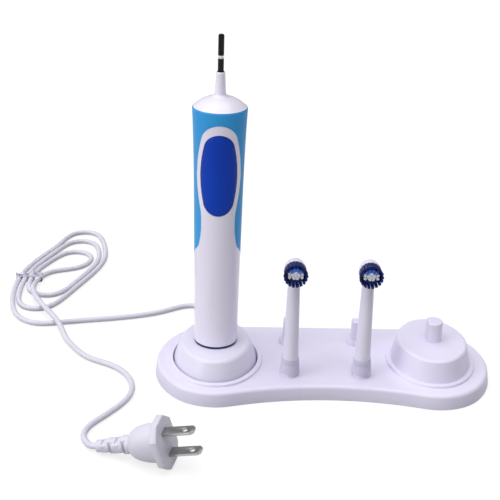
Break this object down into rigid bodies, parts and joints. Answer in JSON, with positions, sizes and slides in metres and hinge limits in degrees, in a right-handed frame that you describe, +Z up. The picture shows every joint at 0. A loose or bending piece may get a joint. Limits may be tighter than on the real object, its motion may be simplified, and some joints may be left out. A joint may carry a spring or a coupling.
{
  "type": "electric toothbrush on charger",
  "caption": "Cordless toothbrush handle standing on its charging base, in a moulded stand with spare brush heads on pegs and a dummy dock, with mains cord and plug.",
  "frame": {"origin": "centre of the stand's footprint, at table height", "axes": "+X along the stand from the charger's dock to the dummy dock, -Y to the front where the button and the bristles face, +Z up"},
  "size_m": [0.2951, 0.3086, 0.1987],
  "materials": {
    "stand_plastic": "satin",
    "charger_plastic": "satin",
    "former_plastic": "matte",
    "copper_wire": "enamelled",
    "ferrite": "matte",
    "circuit_board": "satin",
    "component_case": "matte",
    "cord_jacket": "matte",
    "blade_metal": "brushed",
    "handle_plastic": "glossy",
    "grip_rubber": "satin",
    "seal_rubber": "matte",
    "navy_plastic": "glossy",
    "chassis_plastic": "matte",
    "battery_wrap": "glossy",
    "contact_metal": "satin",
    "button_rubber": "satin",
    "motor_steel": "satin",
    "shaft_steel": "turned",
    "gear_plastic": "matte",
    "bushing_bronze": "satin",
    "head_plastic": "glossy",
    "ring_plastic": "satin",
    "link_plastic": "matte",
    "bristle_navy": "matte",
    "bristle_blue": "matte",
    "bristle_white": "matte"
  },
  "bodies": {
    "stand": {"stand_tray": "stand_plastic", "charger_housing": "charger_plastic", "charger_base_plate": "charger_plastic", "coil_former": "former_plastic", "primary_coil": "copper_wire", "ferrite_rod": "ferrite", "charger_pcb": "circuit_board", "charger_components": "component_case", "cord_gland": "cord_jacket", "cord_lead": "cord_jacket", "cord_hank": "cord_jacket", "cord_tail": "cord_jacket", "plug_relief": "cord_jacket", "plug_body": "cord_jacket", "plug_blades": "blade_metal"},
    "handle": {"handle_shell": "handle_plastic", "grip_overmold": "grip_rubber", "nose_cap": "handle_plastic", "nose_seal": "seal_rubber", "base_cap": "navy_plastic", "base_seal": "seal_rubber", "secondary_coil": "copper_wire", "chassis": "chassis_plastic", "battery": "battery_wrap", "battery_contacts": "contact_metal", "handle_pcb": "circuit_board", "switch": "component_case", "motor_can": "motor_steel", "motor_magnets": "ferrite", "motor_end_cap": "component_case", "crank_axle": "shaft_steel", "lower_bushing": "bushing_bronze", "upper_bushing": "bushing_bronze", "shaft_seal": "seal_rubber"},
    "button": {"power_button": "button_rubber"},
    "rotor": {"motor_armature": "copper_wire", "motor_shaft": "shaft_steel", "motor_pinion": "contact_metal"},
    "crank": {"crank_gear": "gear_plastic"},
    "shaft": {"drive_shaft": "shaft_steel", "rocker_arm": "motor_steel", "shaft_clip": "motor_steel"},
    "head_a": {"head_tube_a": "head_plastic", "head_ring_a": "ring_plastic"},
    "link_a": {"head_link_a": "link_plastic"},
    "disc_a": {"brush_disc_a": "head_plastic", "bristles_rim_a": "bristle_navy", "bristles_mid_a": "bristle_blue", "bristles_core_a": "bristle_white"},
    "head_b": {"head_tube_b": "head_plastic", "head_ring_b": "ring_plastic"},
    "link_b": {"head_link_b": "link_plastic"},
    "disc_b": {"brush_disc_b": "head_plastic", "bristles_rim_b": "bristle_navy", "bristles_mid_b": "bristle_blue", "bristles_core_b": "bristle_white"}
  },
  "joints": [
    {"name": "handle_lift", "type": "slide", "parent": "stand", "child": "handle", "axis": [0, 0, 1], "range_m": [0, 0.05]},
    {"name": "button_press", "type": "slide", "parent": "handle", "child": "button", "axis": [0, 1, 0], "range_m": [0, 0.0006], "stiffness_N_per_m": 800},
    {"name": "motor_spin", "type": "hinge", "parent": "handle", "child": "rotor", "pos_m": [-0.063, -0.0005, 0.1], "axis": [0, 0, 1], "continuous": true},
    {"name": "crank_spin", "type": "hinge", "parent": "handle", "child": "crank", "pos_m": [-0.063, 0.0043, 0.12], "axis": [0, 0, 1], "continuous": true},
    {"name": "shaft_swing", "type": "hinge", "parent": "handle", "child": "shaft", "pos_m": [-0.063, 0, 0.15], "axis": [0, 0, 1], "range_deg": [-22.5, 22.5]},
    {"name": "head_a_lift", "type": "slide", "parent": "stand", "child": "head_a", "axis": [0, 0, 1], "range_m": [0, 0.03]},
    {"name": "link_a_swing", "type": "hinge", "parent": "head_a", "child": "link_a", "pos_m": [-0.0205, -0.0178, 0.05], "axis": [0, 0, 1], "range_deg": [-22.5, 22.5]},
    {"name": "disc_a_turn", "type": "hinge", "parent": "head_a", "child": "disc_a", "pos_m": [-0.0205, -0.0178, 0.0752], "axis": [0, 1, 0], "range_deg": [-22.5, 22.5]},
    {"name": "head_b_lift", "type": "slide", "parent": "stand", "child": "head_b", "axis": [0, 0, 1], "range_m": [0, 0.03]},
    {"name": "link_b_swing", "type": "hinge", "parent": "head_b", "child": "link_b", "pos_m": [0.0205, -0.0178, 0.05], "axis": [0, 0, 1], "range_deg": [-22.5, 22.5]},
    {"name": "disc_b_turn", "type": "hinge", "parent": "head_b", "child": "disc_b", "pos_m": [0.0205, -0.0178, 0.0752], "axis": [0, 1, 0], "range_deg": [-22.5, 22.5]}
  ],
  "couplings": [
    {"joint": "crank_spin", "follows": "motor_spin", "ratio": -0.5},
    {"joint": "disc_a_turn", "follows": "link_a_swing", "ratio": -1},
    {"joint": "disc_b_turn", "follows": "link_b_swing", "ratio": -1}
  ]
}
